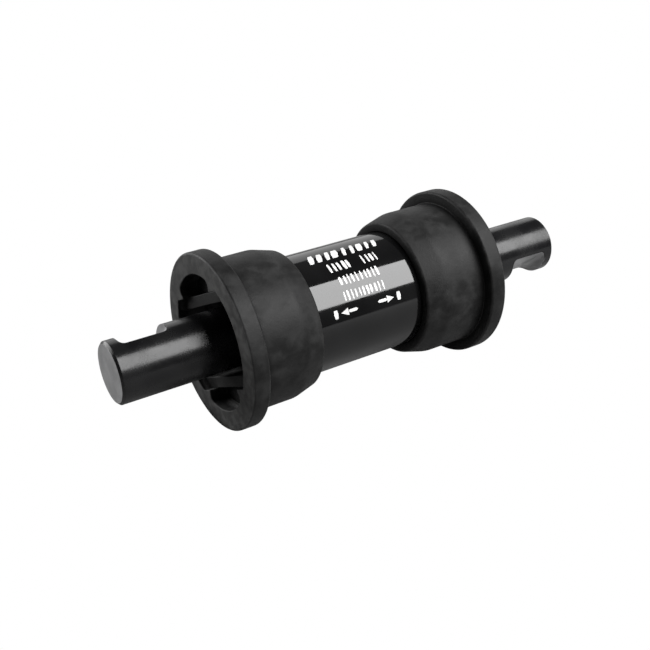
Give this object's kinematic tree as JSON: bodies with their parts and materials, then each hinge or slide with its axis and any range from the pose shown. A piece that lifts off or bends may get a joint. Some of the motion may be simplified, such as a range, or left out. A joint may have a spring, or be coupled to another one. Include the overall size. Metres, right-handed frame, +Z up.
{
  "type": "bottom bracket",
  "caption": "Sealed cartridge bottom bracket with a notched cottered spindle, a smooth black sleeve and flanged push-in plastic cups.",
  "frame": {"origin": "middle of the frame's bottom bracket shell, on the spindle's axis", "axes": "+X along the spindle towards the drive side, +Z up, +Y horizontal, away from the viewer"},
  "size_m": [0.136, 0.0465, 0.0464],
  "materials": {
    "spindle_steel": "black phosphate, semi-gloss",
    "sleeve_lacquer": "gloss black lacquer",
    "cup_nylon": "matte moulded, glass filled",
    "plain_steel": "turned",
    "bearing_steel": "ground",
    "ball_steel": "polished",
    "cage_nylon": "satin moulded",
    "seal_rubber": "matte"
  },
  "bodies": {
    "cartridge": {"cartridge_sleeve": "sleeve_lacquer", "bearing_spacer": "plain_steel", "left_bearing_outer_race": "bearing_steel", "left_bearing_inner_seal": "seal_rubber", "left_bearing_outer_seal": "seal_rubber", "right_bearing_outer_race": "bearing_steel", "right_bearing_inner_seal": "seal_rubber", "right_bearing_outer_seal": "seal_rubber", "left_retaining_collar": "plain_steel", "right_retaining_collar": "plain_steel", "left_dust_seal": "seal_rubber", "right_dust_seal": "seal_rubber", "right_cup": "cup_nylon"},
    "spindle": {"spindle": "spindle_steel", "left_bearing_inner_race": "bearing_steel", "right_bearing_inner_race": "bearing_steel"},
    "left_ball_set": {"left_bearing_balls": "ball_steel", "left_bearing_cage": "cage_nylon"},
    "right_ball_set": {"right_bearing_balls": "ball_steel", "right_bearing_cage": "cage_nylon"},
    "left_cup": {"left_cup": "cup_nylon"}
  },
  "joints": [
    {"name": "spindle_spin", "type": "hinge", "parent": "cartridge", "child": "spindle", "pos_m": [0, 0, 0], "axis": [1, 0, 0], "continuous": true},
    {"name": "left_ball_roll", "type": "hinge", "parent": "cartridge", "child": "left_ball_set", "pos_m": [-0.0235, 0, 0], "axis": [1, 0, 0], "continuous": true},
    {"name": "right_ball_roll", "type": "hinge", "parent": "cartridge", "child": "right_ball_set", "pos_m": [0.0235, 0, 0], "axis": [1, 0, 0], "continuous": true},
    {"name": "left_cup_slide", "type": "slide", "parent": "cartridge", "child": "left_cup", "axis": [-1, 0, 0], "range_m": [0, 0.052]}
  ],
  "couplings": [
    {"joint": "left_ball_roll", "follows": "spindle_spin", "ratio": 0.42553},
    {"joint": "right_ball_roll", "follows": "spindle_spin", "ratio": 0.42553}
  ]
}
